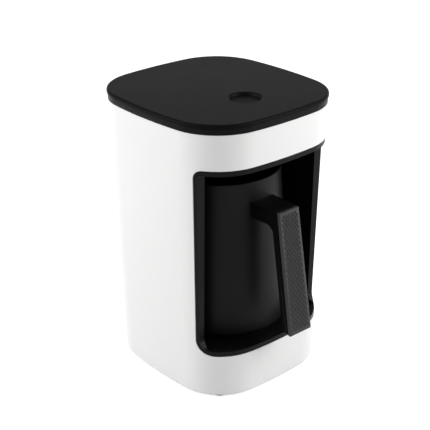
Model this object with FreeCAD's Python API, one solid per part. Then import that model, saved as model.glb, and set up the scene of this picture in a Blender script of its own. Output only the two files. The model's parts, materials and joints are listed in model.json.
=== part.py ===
import FreeCAD, Part
import math
import os
from FreeCAD import Vector

os.makedirs("parts", exist_ok=True)

# Electric turkish coffee maker: a tapered bulged-square casing with a niche that wraps round its
# front corners, and a pot with a slanted handle that slides out of the niche.
# Millimetres. +Z is up and the front faces -Y. The housing is drawn about its own centre line,
# and everything is moved along Y at the end, so that the origin is the middle of the footprint.

# Casing
casing_half_width = 80.0
casing_half_depth = 85.7
side_bulge_r = 392.0
front_bulge_r = 378.0
corner_r = 48.0
casing_height = 246.0
casing_wall = 2.5
bottom_scale = 0.927
bottom_edge_r = 2.0
foot_height = 2.4
foot_r = 8.0
foot_plug_r = 3.2
foot_edge_r = 0.6
foot_side_inset = 24.16
foot_front_inset = 21.44

# Niche opening in the casing, as seen from the side
niche_bottom_z = 42.8
niche_height = 174.9
niche_rear_bottom_y = -50.3
niche_rear_top_y = -54.2
niche_top_r = 8.0
niche_bottom_r = 15.0

# Liner of the niche
seam = 0.3
liner_flush = 0.25
rim_band = 4.8
rim_return = 3.2
liner_wall = 2.5
cavity_clearance = 4.5
groove_depth = 2.5
ledge_depth = 6.2
platform_inset = 4.0
lip_depth = 4.0

# Collar and top cover
collar_height = 5.4
collar_band = 6.0
collar_floor = 2.0
collar_skirt_height = 7.0
collar_skirt_wall = 2.0
well_wall = 1.5
locating_ring_height = 2.0
locating_ring_wall = 2.0
cover_thickness = 3.2
cover_overhang = 0.8
cover_edge_r = 2.0
cover_gap = 0.3

# Start button
button_y = -36.0
recess_r = 14.3
recess_depth = 2.6
recess_floor_r = 12.8
recess_cup_wall = 2.4
recess_mouth = 0.8
button_gap = 0.4
button_travel = 1.2
button_cap_height = 3.4
button_flange = 1.2
button_flange_height = 1.2
stem_r = 3.0
spring_r = 5.6
spring_wire_r = 0.4
spring_turns = 4
spring_well_depth = 6.0
switch_size = 6.0
switch_height = 4.0
switch_plunger_r = 1.7
switch_plunger_height = 1.0

# Pot
pot_y = -6.0
pot_rim_r = 52.0
pot_base_r = 59.0
pot_height = 142.0
pot_wall = 1.8
pot_base_height = 20.0
pot_floor = 2.2
pot_edge_r = 2.5
pot_clearance = 0.3
pot_cover_thickness = 2.6
pot_corner_r = 8.0
pot_skirt_inset = 0.4

# Handle
neck_top_z = 172.0
neck_height = 13.5
neck_half_width = 13.7
grip_top_half_width = 11.6
grip_bottom_half_width = 12.6
grip_front_top_y = -91.4
grip_front_bottom_y = -109.3
grip_bottom_z = 62.0
grip_core_thickness = 6.2
grip_groove = 1.2
grip_cover_thickness = 3.6
grip_edge_r = 1.5
grip_toe_r = 2.0
grip_end_gap = 0.2
grip_web_inset = 1.4
grip_low_screw_share = 0.164
grip_high_screw_share = 0.673
grip_screw_sink = 3.0
grip_screw_head_height = 2.0
grip_screw_skin = 1.2
core_end_r = 2.0
neck_root_depth = 6.0
bracket_half_width = 8.0
bracket_margin = 4.0
bracket_reach = 16.0
bracket_root = 6.0
bracket_gap = 0.2
finger_r = 9.0

# Heater and what sits in the pot's base
heater_inset = 19.0
heater_thickness = 2.0
element_inset = 10.0
element_tube_r = 3.2
probe_r = 4.0
probe_height = 7.0
base_post_inset = 12.0
base_post_r = 4.0
base_post_angles = (30, 150, 270)
element_gap_angle = 50.0
fuse_r = 2.4
fuse_length = 18.0
fuse_offset = 14.0
heater_gap = 0.2

# Docking plug at the back of the niche
dock_z_above_floor = 9.5
dock_half_width = 15.0
dock_height = 11.0
dock_depth_in_pot = 6.5
dock_clearance = 0.6
dock_flange = 3.0
dock_flange_thickness = 6.0
dock_seat_gap = 0.1
dock_notch_gap = 0.5
pin_r = 1.6
pin_pitch = 8.0
pin_reach = 9.0
pin_hole_clearance = 0.5
socket_back_wall = 4.0
contact_half_width = 1.5
contact_length = 5.0
contact_half_thickness = 0.5

# Fasteners and boards
screw_r = 1.5
screw_head_r = 3.0
screw_head_height = 2.4
screw_clearance = 0.2
long_screw = 12.0
board_screw = 7.0
pot_screw = 9.0
pot_screw_head_height = 1.2
pilot_depth = 14.0
board_pilot_depth = 8.0
sunk_head = 1.5
post_r = 4.2
post_x = 46.0
post_to_foot = 14.0
post_rear_y = 32.0
board_thickness = 1.6
control_board_half_x = 34.0
control_board_half_y = 26.0
control_board_drop = 13.5
power_board_half_x = 40.0
power_board_half_y = 32.0
power_board_z = 17.0
base_thickness = 3.0
base_rim_height = 6.0
board_post_r = 3.0
board_screw_inset = 4.0
relay_x = -16.0
relay_y = -10.0
relay_half_x = 10.0
relay_half_y = 8.0
relay_height = 15.0
relay_edge_r = 1.0
capacitor_x = 18.0
capacitor_y = -12.0
capacitor_r = 6.5
capacitor_height = 16.0
terminal_y = 20.0
terminal_half_width = 13.0
terminal_front = 6.0
terminal_rear = 7.0
terminal_height = 10.0
terminal_screw_r = 2.4
terminal_mouth = 2.5
buzzer_x = 20.0
buzzer_offset = 12.0
buzzer_r = 6.0
buzzer_height = 5.0
buzzer_hole_r = 1.2

# Sensor above the pot, cord inlet and inner leads
sensor_y = -30.0
sensor_r = 6.0
sensor_height = 12.0
window_thickness = 1.6
window_recess = 0.4
sensor_flange = 2.5
sensor_flange_thickness = 1.5
gland_z = 22.0
gland_bore_r = 4.0
gland_wall = 2.0
gland_flange_r = 8.5
gland_flange_thickness = 1.6
gland_length = 12.0
gland_edge_r = 0.7
connector_half_width = 5.0
connector_depth = 7.0
connector_height = 6.4
connector_wall = 1.0
connector_edge_gap = 3.0
lead_r = 1.6
lead_bend_r = 6.0
lead_gap = 1.4
wall_lead_gap = 6.0

# How far a cutting solid runs past the faces that it cuts
over = 1.0

# Heights that follow from the sizes above
casing_bottom_z = foot_height
casing_top_z = casing_bottom_z + casing_height
niche_top_z = niche_bottom_z + niche_height
ledge_z = niche_bottom_z + rim_band
ceiling_z = niche_top_z - rim_band
liner_underside_z = ledge_z - groove_depth - liner_wall
liner_top_z = ceiling_z + liner_wall
collar_top_z = casing_top_z + collar_height
cover_bottom_z = collar_top_z + cover_gap
cover_top_z = cover_bottom_z + cover_thickness
button_top_z = cover_top_z - recess_depth
pot_bottom_z = ledge_z + pot_clearance
pot_rim_z = pot_bottom_z + pot_height
pot_floor_z = pot_bottom_z + pot_base_height
base_plate_z = casing_bottom_z + 0.6
control_board_z = casing_top_z - control_board_drop
dock_z = ledge_z + dock_z_above_floor
cavity_half_width = pot_base_r + cavity_clearance
platform_r = pot_base_r - platform_inset
heater_r = pot_base_r - heater_inset
element_ring_r = heater_r - element_inset
base_post_ring_r = pot_base_r - base_post_inset
foot_x = casing_half_width * bottom_scale - foot_side_inset
foot_y = casing_half_depth * bottom_scale - foot_front_inset
post_front_y = post_to_foot - foot_y
connector_x = -(dock_half_width + dock_flange + lead_r + lead_gap)
neck_low_z = neck_top_z - neck_height
collar_floor_z = casing_top_z - collar_floor
board_top_z = control_board_z + board_thickness
power_top_z = power_board_z + board_thickness


def scale_at(z):
    """Scale of the casing's plan at a height: it narrows towards the bottom."""
    return bottom_scale + (1 - bottom_scale) * (z - casing_bottom_z) / casing_height


def plan_wire(scale, inset, z):
    """Closed plan of eight tangent arcs: four bulged sides and four corners."""
    a = casing_half_width * scale
    b = casing_half_depth * scale
    side_r = side_bulge_r * scale
    face_r = front_bulge_r * scale
    round_r = corner_r * scale
    side_centre = Vector(a - side_r, 0, 0)
    face_centre = Vector(0, b - face_r, 0)
    between = face_centre - side_centre
    reach = between.Length
    along = ((side_r - round_r) ** 2 - (face_r - round_r) ** 2 + reach ** 2) / (2 * reach)
    across = math.sqrt((side_r - round_r) ** 2 - along ** 2)
    unit = between * (1 / reach)
    corner = side_centre + unit * along + Vector(unit.y, -unit.x, 0) * across
    if corner.x < 0 or corner.y < 0:
        corner = side_centre + unit * along - Vector(unit.y, -unit.x, 0) * across
    side_way = (corner - side_centre).normalize()
    face_way = (corner - face_centre).normalize()
    middle_way = (side_way + face_way).normalize()
    side_end = side_centre + side_way * (side_r - inset)
    face_end = face_centre + face_way * (face_r - inset)
    corner_mid = corner + middle_way * (round_r - inset)
    side_mid = Vector(a - inset, 0, 0)
    face_mid = Vector(0, b - inset, 0)

    def at(point, sx, sy):
        return Vector(point.x * sx, point.y * sy, z)

    runs = [
        (at(side_end, 1, -1), at(side_mid, 1, 1), at(side_end, 1, 1)),
        (at(side_end, 1, 1), at(corner_mid, 1, 1), at(face_end, 1, 1)),
        (at(face_end, 1, 1), at(face_mid, 1, 1), at(face_end, -1, 1)),
        (at(face_end, -1, 1), at(corner_mid, -1, 1), at(side_end, -1, 1)),
        (at(side_end, -1, 1), at(side_mid, -1, 1), at(side_end, -1, -1)),
        (at(side_end, -1, -1), at(corner_mid, -1, -1), at(face_end, -1, -1)),
        (at(face_end, -1, -1), at(face_mid, 1, -1), at(face_end, 1, -1)),
        (at(face_end, 1, -1), at(corner_mid, 1, -1), at(side_end, 1, -1)),
    ]
    return Part.Wire([Part.Arc(p, m, q).toShape() for p, m, q in runs])


def plan_loft(inset, z_low, z_high):
    """Solid with the casing's tapered plan, drawn in by an inset."""
    wires = [plan_wire(scale_at(z), inset, z) for z in (z_low, z_high)]
    return Part.makeLoft(wires, True, True)


def plan_prism(scale, inset, z_low, z_high):
    """Straight solid with the casing's plan at one scale."""
    face = Part.Face(plan_wire(scale, inset, z_low))
    return face.extrude(Vector(0, 0, z_high - z_low))


def block(x0, x1, y0, y1, z0, z1):
    return Part.makeBox(x1 - x0, y1 - y0, z1 - z0, Vector(x0, y0, z0))


def rod(r, height, x, y, z, way=Vector(0, 0, 1)):
    return Part.makeCylinder(r, height, Vector(x, y, z), way)


def prism_x(points, half_width):
    """Extrude a side view, given as (y, z) points, across the width."""
    wire = Part.makePolygon([Vector(-half_width, y, z) for y, z in points + points[:1]])
    return Part.Face(wire).extrude(Vector(2 * half_width, 0, 0))


def round_edges(solid, chosen, r):
    edges = [e for e in solid.Edges if chosen(e)]
    return solid.makeFillet(r, edges)


def runs_across(edge, y, z):
    """True for the edge along X through a point of the side view."""
    centre = edge.CenterOfMass
    straight = abs(edge.Length - abs(edge.BoundBox.XLength)) < 0.01
    return straight and abs(centre.y - y) < 0.05 and abs(centre.z - z) < 0.05


def side_opening(inset_z, shift_y, half_width):
    """Side view of the niche: a slanted rear edge with rounded corners, open to the front."""
    low = niche_bottom_z + inset_z
    high = niche_top_z - inset_z
    slope = (niche_rear_top_y - niche_rear_bottom_y) / niche_height
    rear_low = niche_rear_bottom_y + slope * inset_z + shift_y
    rear_high = niche_rear_top_y - slope * inset_z + shift_y
    front = -2 * casing_half_depth
    solid = prism_x([(front, low), (rear_low, low), (rear_high, high), (front, high)], half_width)
    low_r = max(niche_bottom_r - inset_z, 1.0)
    high_r = max(niche_top_r - inset_z, 1.0)
    solid = round_edges(solid, lambda e: runs_across(e, rear_low, low), low_r)
    return round_edges(solid, lambda e: runs_across(e, rear_high, high), high_r)


def u_prism(widen, z_low, z_high, front_y):
    """Plan of the niche: straight sides and a round back about the pot."""
    r = cavity_half_width + widen
    shape = block(-r, r, front_y, pot_y, z_low, z_high)
    return shape.fuse(rod(r, z_high - z_low, 0, pot_y, z_low)).removeSplitter()


def screw(x, y, z_seat, length, way):
    """A screw with its head on the seat and its shank along the way."""
    head = rod(screw_head_r, screw_head_height, x, y, z_seat, Vector(0, 0, -way))
    slot_r = screw_head_r * 0.5
    socket = rod(slot_r, screw_head_height * 0.5, x, y, z_seat - way * screw_head_height,
                 Vector(0, 0, way))
    shank = rod(screw_r, length, x, y, z_seat, Vector(0, 0, way))
    return head.cut(socket).fuse(shank).removeSplitter()


def bent_tube(points, r):
    """Tube of straight runs joined by tangent arcs."""
    edges = []
    start = points[0]
    for here, after in zip(points[1:-1], points[2:]):
        inward = (here - start).normalize()
        onward = (after - here).normalize()
        turn = inward.getAngle(onward)
        trim = lead_bend_r * math.tan(turn / 2)
        first = here - inward * trim
        last = here + onward * trim
        pull = (onward - inward).normalize()
        middle = here + pull * (lead_bend_r / math.cos(turn / 2) - lead_bend_r)
        edges.append(Part.LineSegment(start, first).toShape())
        edges.append(Part.Arc(first, middle, last).toShape())
        start = last
    edges.append(Part.LineSegment(start, points[-1]).toShape())
    path = Part.Wire(edges)
    circle = Part.Wire(Part.makeCircle(r, points[0], points[1] - points[0]))
    return path.makePipeShell([circle], True, False)


post_places = [(x, y) for x in (-post_x, post_x) for y in (post_front_y, post_rear_y)]
foot_places = [(x, y) for x in (-foot_x, foot_x) for y in (-foot_y, foot_y)]
board_places = [(x * (control_board_half_x - board_screw_inset),
                 button_y + y * (control_board_half_y - board_screw_inset))
                for x in (-1, 1) for y in (-1, 1)]
power_places = [(x * (power_board_half_x - board_screw_inset),
                 y * (power_board_half_y - board_screw_inset))
                for x in (-1, 1) for y in (-1, 1)]
pin_places = [x * pin_pitch for x in (-1, 0, 1)]


# Outer casing: a tapered sleeve with its wrap-round opening and the cord's hole
def make_outer_casing():
    low = casing_bottom_z
    wires = [
        plan_wire(scale_at(low), bottom_edge_r, low),
        plan_wire(scale_at(low), bottom_edge_r * 0.3, low + bottom_edge_r * 0.3),
        plan_wire(scale_at(low), 0, low + bottom_edge_r),
        plan_wire(1, 0, casing_top_z),
    ]
    outer = Part.makeLoft(wires, True, True)
    inner = plan_loft(casing_wall, low - over, casing_top_z + over)
    sleeve = outer.cut(inner)
    sleeve = sleeve.cut(side_opening(0, 0, 2 * casing_half_width))
    hole_r = gland_bore_r + gland_wall + screw_clearance
    return sleeve.cut(rod(hole_r, casing_half_depth, 0, 0, gland_z, Vector(0, 1, 0)))


# Niche liner: rim flush with the casing, U-shaped niche, drip groove and screw posts
def make_niche_liner():
    room = 2 * casing_half_width
    rim = plan_loft(liner_flush, niche_bottom_z - over, niche_top_z + over)
    rim = rim.common(side_opening(seam, -seam, room))
    behind = block(-room, room, niche_rear_bottom_y - seam, room, 0, casing_top_z)
    lip = plan_loft(casing_wall + seam, niche_bottom_z - lip_depth, niche_top_z + lip_depth)
    lip = lip.common(side_opening(-lip_depth, lip_depth, room))
    lip = lip.cut(behind)
    tub = u_prism(liner_wall, liner_underside_z, liner_top_z, niche_rear_top_y)
    tub = tub.common(plan_loft(casing_wall + seam, liner_underside_z, liner_top_z))
    shell = rim.fuse([lip, tub])
    shell = shell.cut(side_opening(rim_band, -rim_return, room))
    shell = shell.cut(u_prism(0, ledge_z, ceiling_z, -room))
    inner_plan = plan_loft(ledge_depth, liner_underside_z, niche_top_z)
    groove = u_prism(0, ledge_z - groove_depth, ledge_z + over, -room).common(inner_plan)
    platform = rod(platform_r, groove_depth + 2 * over, 0, pot_y, ledge_z - groove_depth - over)
    groove = groove.cut(platform)
    shell = shell.cut(groove)
    pilot_r = screw_r + screw_clearance
    low = base_plate_z + base_thickness
    for x, y in post_places:
        shell = shell.fuse(rod(post_r, liner_underside_z + over - low, x, y, low))
        upper = rod(post_r, collar_floor_z - liner_top_z + over, x, y, liner_top_z - over)
        shell = shell.fuse(upper)
        shell = shell.cut(rod(pilot_r, pilot_depth, x, y, low))
        shell = shell.cut(rod(pilot_r, pilot_depth, x, y, collar_floor_z - pilot_depth))
    for x, y in board_places:
        post = rod(board_post_r, control_board_z - liner_top_z + over, x, y, liner_top_z - over)
        pilot = rod(pilot_r, board_pilot_depth, x, y, control_board_z - board_pilot_depth)
        shell = shell.fuse(post).cut(pilot)
    window = rod(sensor_r + seam, liner_wall + 2 * over, 0, sensor_y, ceiling_z - over)
    shell = shell.cut(window)
    slot_x = dock_half_width + seam
    slot_z = dock_height / 2 + seam
    slot = block(-slot_x, slot_x, pot_y, room, dock_z - slot_z, dock_z + slot_z)
    return shell.cut(slot).removeSplitter()


# Collar: black ring on the casing's top edge, with a floor under the cover
def make_top_collar():
    ring = plan_prism(1, 0, casing_top_z, collar_top_z)
    ring = ring.cut(plan_prism(1, collar_band, casing_top_z - over, collar_top_z + over))
    inset = casing_wall + seam
    skirt_low = casing_top_z - collar_skirt_height
    skirt = plan_prism(1, inset, skirt_low, casing_top_z)
    hollow = plan_prism(1, inset + collar_skirt_wall, skirt_low - over, collar_floor_z)
    skirt = skirt.cut(hollow)
    collar = ring.fuse(skirt).removeSplitter()
    well_r = spring_r + spring_wire_r + well_wall
    well_z = collar_floor_z - spring_well_depth
    deep = spring_well_depth + collar_floor + over
    collar = collar.fuse(rod(well_r + well_wall, spring_well_depth + over, 0, button_y, well_z))
    collar = collar.cut(rod(well_r, deep, 0, button_y, well_z + well_wall))
    collar = collar.cut(rod(stem_r + button_gap, deep, 0, button_y, well_z - over))
    for x, y in post_places:
        hole = rod(screw_r + screw_clearance, collar_skirt_height, x, y, collar_floor_z - over)
        collar = collar.cut(hole)
    return collar.removeSplitter()


# Top cover: plate with rounded edge, button recess and locating ring
def make_top_cover():
    plate = plan_prism(1, -cover_overhang, cover_bottom_z, cover_top_z)
    plate = round_edges(plate, lambda e: abs(e.BoundBox.ZMin - cover_top_z) < 0.01
                        and e.BoundBox.ZLength < 0.01, cover_edge_r)
    ring_low = cover_bottom_z - locating_ring_height
    ring_inset = collar_band + seam
    ring = plan_prism(1, ring_inset, ring_low, cover_bottom_z)
    ring = ring.cut(plan_prism(1, ring_inset + locating_ring_wall, ring_low - over, cover_bottom_z))
    cup_low = casing_top_z + button_gap
    cup_r = recess_r + recess_cup_wall
    cup = rod(cup_r, cover_bottom_z - cup_low, 0, button_y, cup_low)
    plate = plate.fuse([ring, cup])
    cone = Part.makeCone(recess_floor_r, recess_r, recess_depth,
                         Vector(0, button_y, button_top_z), Vector(0, 0, 1))
    lip_low = button_top_z - button_cap_height + button_flange_height + button_gap
    bore = rod(recess_floor_r, button_top_z - lip_low, 0, button_y, lip_low)
    flange_r = recess_floor_r + button_flange
    room = rod(flange_r, lip_low - cup_low + over, 0, button_y, cup_low - over)
    plate = plate.cut(cone).cut(bore).cut(room)
    mouth = Part.makeCone(recess_r, recess_r + recess_mouth, recess_mouth / 2,
                          Vector(0, button_y, cover_top_z - recess_mouth / 2), Vector(0, 0, 1))
    return plate.cut(mouth).removeSplitter()


# Start button: flat cap, retaining flange and stem
def make_start_button():
    cap_r = recess_floor_r - button_gap
    low = button_top_z - button_cap_height
    cap = rod(cap_r, button_cap_height, 0, button_y, low)
    top_edge = [e for e in cap.Edges if abs(e.BoundBox.ZMin - button_top_z) < 0.01]
    cap = cap.makeFillet(0.5, top_edge)
    flange = rod(cap_r + button_flange, button_flange_height, 0, button_y, low)
    stem_low = stem_bottom_z()
    stem = rod(stem_r, low - stem_low, 0, button_y, stem_low)
    return cap.fuse([flange, stem]).removeSplitter()


def stem_bottom_z():
    """The stem ends just above the switch when the button is fully pressed."""
    return board_top_z + switch_height + button_travel + 0.1


# Return spring: closed coil of round wire between the collar's well and the cap
def make_button_spring():
    low = collar_floor_z - spring_well_depth + well_wall + 0.1
    high = button_top_z - button_cap_height - 0.1
    free = high - low - 2 * spring_wire_r
    pitch = free / spring_turns
    helix = Part.makeHelix(pitch, free, spring_r)
    helix.translate(Vector(0, button_y, low + spring_wire_r))
    start = Vector(spring_r, button_y, low + spring_wire_r)
    profile = Part.Wire(Part.makeCircle(spring_wire_r, start, Vector(0, 1, 0)))
    return Part.Wire(helix.Edges).makePipeShell([profile], True, True)


# Base plate with its upstanding rim, foot sockets and counterbored screw holes
def make_base_plate():
    inset = casing_wall + seam
    plate = plan_loft(inset, base_plate_z, base_plate_z + base_rim_height)
    hollow = plan_loft(inset + collar_skirt_wall, base_plate_z + base_thickness,
                       base_plate_z + base_rim_height + over)
    plate = plate.cut(hollow)
    through = base_plate_z + base_thickness + over
    for x, y in post_places:
        plate = plate.cut(rod(screw_r + screw_clearance, through, x, y, 0))
        plate = plate.cut(rod(screw_head_r + screw_clearance, sunk_head, x, y, base_plate_z))
    for x, y in foot_places:
        plate = plate.cut(rod(foot_plug_r + 0.05, through, x, y, 0))
    low = base_plate_z + base_thickness - over
    for x, y in power_places:
        post = rod(board_post_r, power_board_z - low, x, y, low)
        pilot = rod(screw_r + screw_clearance, board_pilot_depth, x, y,
                    power_board_z - board_pilot_depth)
        plate = plate.fuse(post).cut(pilot)
    return plate.removeSplitter()


# Four rubber feet, each with a plug through the base plate
def make_rubber_feet():
    feet = []
    for x, y in foot_places:
        pad = rod(foot_r, base_plate_z, x, y, 0)
        edge = [e for e in pad.Edges if abs(e.BoundBox.ZMax) < 0.01 and e.BoundBox.ZLength < 0.01]
        pad = pad.makeFillet(foot_edge_r, edge)
        plug = rod(foot_plug_r, base_thickness + 0.8, x, y, base_plate_z)
        feet.append(pad.fuse(plug).removeSplitter())
    return Part.makeCompound(feet)


def make_base_screws():
    seat = base_plate_z + sunk_head
    return Part.makeCompound([screw(x, y, seat, long_screw, 1) for x, y in post_places])


def make_collar_screws():
    return Part.makeCompound([screw(x, y, casing_top_z, long_screw, -1) for x, y in post_places])


def make_board_screws():
    screws = [screw(x, y, board_top_z, board_screw, -1) for x, y in board_places]
    screws += [screw(x, y, power_top_z, board_screw, -1) for x, y in power_places]
    return Part.makeCompound(screws)


# Control board under the collar, with switch, buzzer and connector
def make_control_board():
    board = block(-control_board_half_x, control_board_half_x, button_y - control_board_half_y,
                  button_y + control_board_half_y, control_board_z, board_top_z)
    for x, y in board_places:
        hole = rod(screw_r + screw_clearance, board_thickness + 2 * over, x, y,
                   control_board_z - over)
        board = board.cut(hole)
    return board


def make_tact_switch():
    half = switch_size / 2
    body_top = board_top_z + switch_height - switch_plunger_height
    body = block(-half, half, button_y - half, button_y + half, board_top_z, body_top)
    plunger = rod(switch_plunger_r, switch_plunger_height, 0, button_y, body_top)
    return body.fuse(plunger).removeSplitter()


def make_buzzer():
    y = button_y + buzzer_offset
    body = rod(buzzer_r, buzzer_height, buzzer_x, y, board_top_z)
    return body.cut(rod(buzzer_hole_r, buzzer_height, buzzer_x, y, board_top_z + buzzer_height / 2))


def make_board_connector():
    x = connector_x
    y = connector_mouth_y()
    wall = connector_wall
    half = connector_half_width
    high = board_top_z + connector_height
    shell = block(x - half, x + half, y - connector_depth, y, board_top_z, high)
    return shell.cut(block(x - half + wall, x + half - wall, y - connector_depth + wall, y + over,
                           board_top_z + wall, high - wall))


def connector_mouth_y():
    return button_y + control_board_half_y - connector_edge_gap


# Sensor that watches the foam through the niche's ceiling
def make_sensor_window():
    return rod(sensor_r, window_thickness, 0, sensor_y, ceiling_z + window_recess)


def make_foam_sensor():
    low = ceiling_z + window_recess + window_thickness
    body = rod(sensor_r, sensor_height, 0, sensor_y, low)
    flange = rod(sensor_r + sensor_flange, sensor_flange_thickness, 0, sensor_y, liner_top_z)
    return body.fuse(flange).removeSplitter()


# Docking plug in the back wall of the niche, with its contact pins
def dock_front_y():
    return pot_y + pot_base_r - dock_depth_in_pot


def dock_back_y():
    """Rear of the plug's flange, which seats on the outside of the niche's back wall."""
    return pot_y + cavity_half_width + liner_wall + dock_flange_thickness


def make_dock_plug():
    front = dock_front_y()
    back = dock_back_y()
    wall = back - dock_flange_thickness + dock_seat_gap
    x = dock_half_width
    z = dock_height / 2
    nose = block(-x, x, front, back, dock_z - z, dock_z + z)
    flange = block(-x - dock_flange, x + dock_flange, wall, back,
                   dock_z - z - dock_flange, dock_z + z + dock_flange)
    plug = nose.fuse(flange).removeSplitter()
    length = back - front + 2 * over
    for px in pin_places:
        plug = plug.cut(rod(pin_r + 0.05, length, px, front - over, dock_z, Vector(0, 1, 0)))
    return plug


def pin_tail_y():
    """The pins end behind the plug's flange, where the leads join them."""
    return dock_back_y() + 2 * lead_r + 0.4


def make_dock_pins():
    front = dock_front_y()
    length = pin_tail_y() - front + pin_reach
    pins = []
    for px in pin_places:
        pin = rod(pin_r, length, px, front - pin_reach, dock_z, Vector(0, 1, 0))
        tip = [e for e in pin.Edges if abs(e.BoundBox.YMax - (front - pin_reach)) < 0.01]
        pins.append(pin.makeFillet(pin_r * 0.6, tip))
    return Part.makeCompound(pins)


# Power board on the base plate, with relay, capacitor and terminal block
def make_power_board():
    board = block(-power_board_half_x, power_board_half_x, -power_board_half_y,
                  power_board_half_y, power_board_z, power_top_z)
    for x, y in power_places:
        hole = rod(screw_r + screw_clearance, board_thickness + 2 * over, x, y,
                   power_board_z - over)
        board = board.cut(hole)
    return board


def make_power_relay():
    body = block(relay_x - relay_half_x, relay_x + relay_half_x, relay_y - relay_half_y,
                 relay_y + relay_half_y, power_top_z, power_top_z + relay_height)
    return round_edges(body, lambda e: e.BoundBox.ZLength > relay_height / 2, relay_edge_r)


def make_filter_capacitor():
    body = rod(capacitor_r, capacitor_height, capacitor_x, capacitor_y, power_top_z)
    high = power_top_z + capacitor_height
    return round_edges(body, lambda e: abs(e.BoundBox.ZMin - high) < 0.01, relay_edge_r)


def make_terminal_block():
    low = power_top_z
    high = low + terminal_height
    rear = terminal_y + terminal_rear
    mouth = terminal_mouth
    body = block(-terminal_half_width, terminal_half_width, terminal_y - terminal_front, rear,
                 low, high)
    for px in pin_places:
        body = body.cut(rod(terminal_screw_r, terminal_height, px, terminal_y,
                            low + terminal_height / 2))
        body = body.cut(block(px - mouth, px + mouth, rear - 2 * mouth, rear + over,
                              low + mouth, high - mouth))
    return body


# Cord inlet: a flanged bushing in the casing's back wall
def gland_seat_y():
    return casing_half_depth * scale_at(gland_z + gland_flange_r) + 0.1


def make_cord_gland():
    seat = gland_seat_y()
    back = Vector(0, -1, 0)
    flange = rod(gland_flange_r, gland_flange_thickness, 0, seat + gland_flange_thickness,
                 gland_z, back)
    sleeve = rod(gland_bore_r + gland_wall, gland_length, 0, seat + gland_flange_thickness,
                 gland_z, back)
    gland = flange.fuse(sleeve).removeSplitter()
    rear = seat + gland_flange_thickness
    outer = [e for e in gland.Edges if abs(e.BoundBox.YMin - rear) < 0.01]
    gland = gland.makeFillet(gland_edge_r, outer)
    bore = rod(gland_bore_r, gland_length + 2 * over, 0, rear + over, gland_z, back)
    return gland.cut(bore)


# Inner leads: terminal block to docking pins, and the two boards' link
def make_dock_leads():
    top = power_top_z + terminal_height
    y = terminal_y
    tail = pin_tail_y() - lead_r - 0.1
    run_z = top + lead_bend_r + over
    leads = []
    for px in pin_places:
        points = [Vector(px, y, top + 0.2), Vector(px, y, run_z), Vector(px, tail, run_z),
                  Vector(px, tail, dock_z - pin_r - 0.2)]
        leads.append(bent_tube(points, lead_r))
    return Part.makeCompound(leads)


def make_link_lead():
    back = casing_half_depth * scale_at(power_board_z) - casing_wall - wall_lead_gap
    high = board_top_z + connector_height / 2
    x = connector_x
    y = terminal_y
    run_z = power_top_z + 1.5 * lead_bend_r
    end = connector_mouth_y() - connector_depth / 2
    points = [Vector(x, y, power_top_z + 0.2), Vector(x, y, run_z), Vector(x, back, run_z),
              Vector(x, back, high), Vector(x, end, high)]
    return bent_tube(points, lead_r)


# Pot: tapered vessel whose wall runs on below its floor, with a notch for the docking plug
def pot_r(z):
    return pot_base_r + (pot_rim_r - pot_base_r) * (z - pot_bottom_z) / pot_height


def make_pot_body():
    low = pot_bottom_z
    rim = pot_rim_z
    floor_top = pot_floor_z
    floor_low = floor_top - pot_floor
    inner_top = pot_r(rim) - pot_wall
    inner_floor = pot_r(floor_top) - pot_wall
    blend = pot_corner_r

    def at(r, z):
        return Vector(r, pot_y, z)

    rim_mid = pot_r(rim) - pot_wall / 2
    half_turn = Part.Arc(at(pot_r(rim), rim - pot_wall / 2), at(rim_mid, rim),
                         at(inner_top, rim - pot_wall / 2)).toShape()
    bend = math.sqrt(0.5)
    corner_mid = at(inner_floor - blend * (1 - bend), floor_top + blend * (1 - bend))
    corner = Part.Arc(at(inner_floor, floor_top + blend), corner_mid,
                      at(inner_floor - blend, floor_top)).toShape()
    edge_mid = at(pot_r(low) - pot_edge_r * (1 - bend), low + pot_edge_r * (1 - bend))
    edge = Part.Arc(at(pot_r(low) - pot_edge_r, low), edge_mid,
                    at(pot_r(low + pot_edge_r), low + pot_edge_r)).toShape()
    lower_wall = pot_edge_r + pot_skirt_inset

    def line(p, q):
        return Part.LineSegment(p, q).toShape()

    outline = [
        edge,
        line(at(pot_r(low + pot_edge_r), low + pot_edge_r), at(pot_r(rim), rim - pot_wall / 2)),
        half_turn,
        line(at(inner_top, rim - pot_wall / 2), at(inner_floor, floor_top + blend)),
        corner,
        line(at(inner_floor - blend, floor_top), at(0, floor_top)),
        line(at(0, floor_top), at(0, floor_low)),
        line(at(0, floor_low), at(pot_r(floor_low) - lower_wall, floor_low)),
        line(at(pot_r(floor_low) - lower_wall, floor_low), at(pot_r(low) - lower_wall, low)),
        line(at(pot_r(low) - lower_wall, low), at(pot_r(low) - pot_edge_r, low)),
    ]
    face = Part.Face(Part.Wire(outline))
    body = face.revolve(Vector(0, pot_y, 0), Vector(0, 0, 1), 360)
    for angle in base_post_angles:
        x, y = base_post_place(angle)
        body = body.fuse(rod(base_post_r, base_post_length() + 0.5, x, y, base_post_low()))
        body = body.cut(rod(screw_r + screw_clearance, pot_screw, x, y, base_post_low()))
    slot_x = dock_half_width + dock_clearance
    slot_z = dock_height / 2 + dock_clearance
    notch = block(-slot_x, slot_x, dock_front_y() - dock_notch_gap, 2 * pot_base_r,
                  dock_z - slot_z, dock_z + slot_z)
    return body.cut(notch).removeSplitter()


def base_post_place(angle):
    turn = math.radians(angle)
    return base_post_ring_r * math.cos(turn), pot_y + base_post_ring_r * math.sin(turn)


def base_post_low():
    return pot_bottom_z + pot_cover_thickness + 0.1


def base_post_length():
    return pot_floor_z - pot_floor - base_post_low()


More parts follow.
